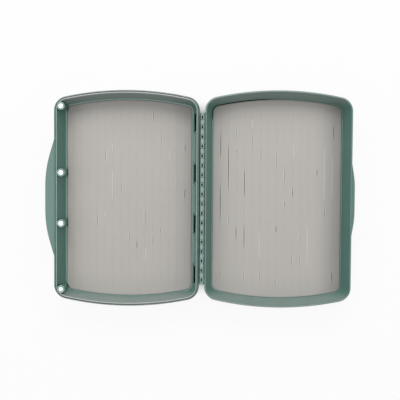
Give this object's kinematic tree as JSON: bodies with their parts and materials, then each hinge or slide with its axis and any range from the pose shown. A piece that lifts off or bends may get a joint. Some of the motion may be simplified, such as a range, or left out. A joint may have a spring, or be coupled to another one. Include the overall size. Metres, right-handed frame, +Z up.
{
  "type": "fly box",
  "caption": "Slim moulded fly box: two shallow trays with bowed ends on a long knuckle hinge, slit pads inside, magnets that hold it shut and thumb tabs that open it.",
  "frame": {"origin": "middle of the open box's footprint, on the surface that it rests on", "axes": "+X across the open box from the base to the lid, +Y along the hinge, +Z up out of the open trays"},
  "size_m": [0.2634, 0.184, 0.0189],
  "materials": {
    "shell_plastic": "satin moulded, grey green",
    "pad_silicone": "matte, pale warm grey",
    "adhesive_sheet": "matte, off white",
    "magnet_plating": "bright nickel plating",
    "pin_steel": "darkened drawn wire"
  },
  "bodies": {
    "base": {"base_shell": "shell_plastic", "base_pad": "pad_silicone", "base_adhesive": "adhesive_sheet", "hinge_pin": "pin_steel", "base_magnet_1": "magnet_plating", "base_magnet_2": "magnet_plating", "base_magnet_3": "magnet_plating", "base_magnet_4": "magnet_plating"},
    "lid": {"lid_shell": "shell_plastic", "lid_pad": "pad_silicone", "lid_adhesive": "adhesive_sheet", "lid_magnet_1": "magnet_plating", "lid_magnet_2": "magnet_plating", "lid_magnet_3": "magnet_plating", "lid_magnet_4": "magnet_plating"}
  },
  "joints": [
    {"name": "lid_hinge", "type": "hinge", "parent": "base", "child": "lid", "pos_m": [0.0026, 0, 0.01705], "axis": [0, -1, 0], "range_deg": [0, 180]}
  ]
}
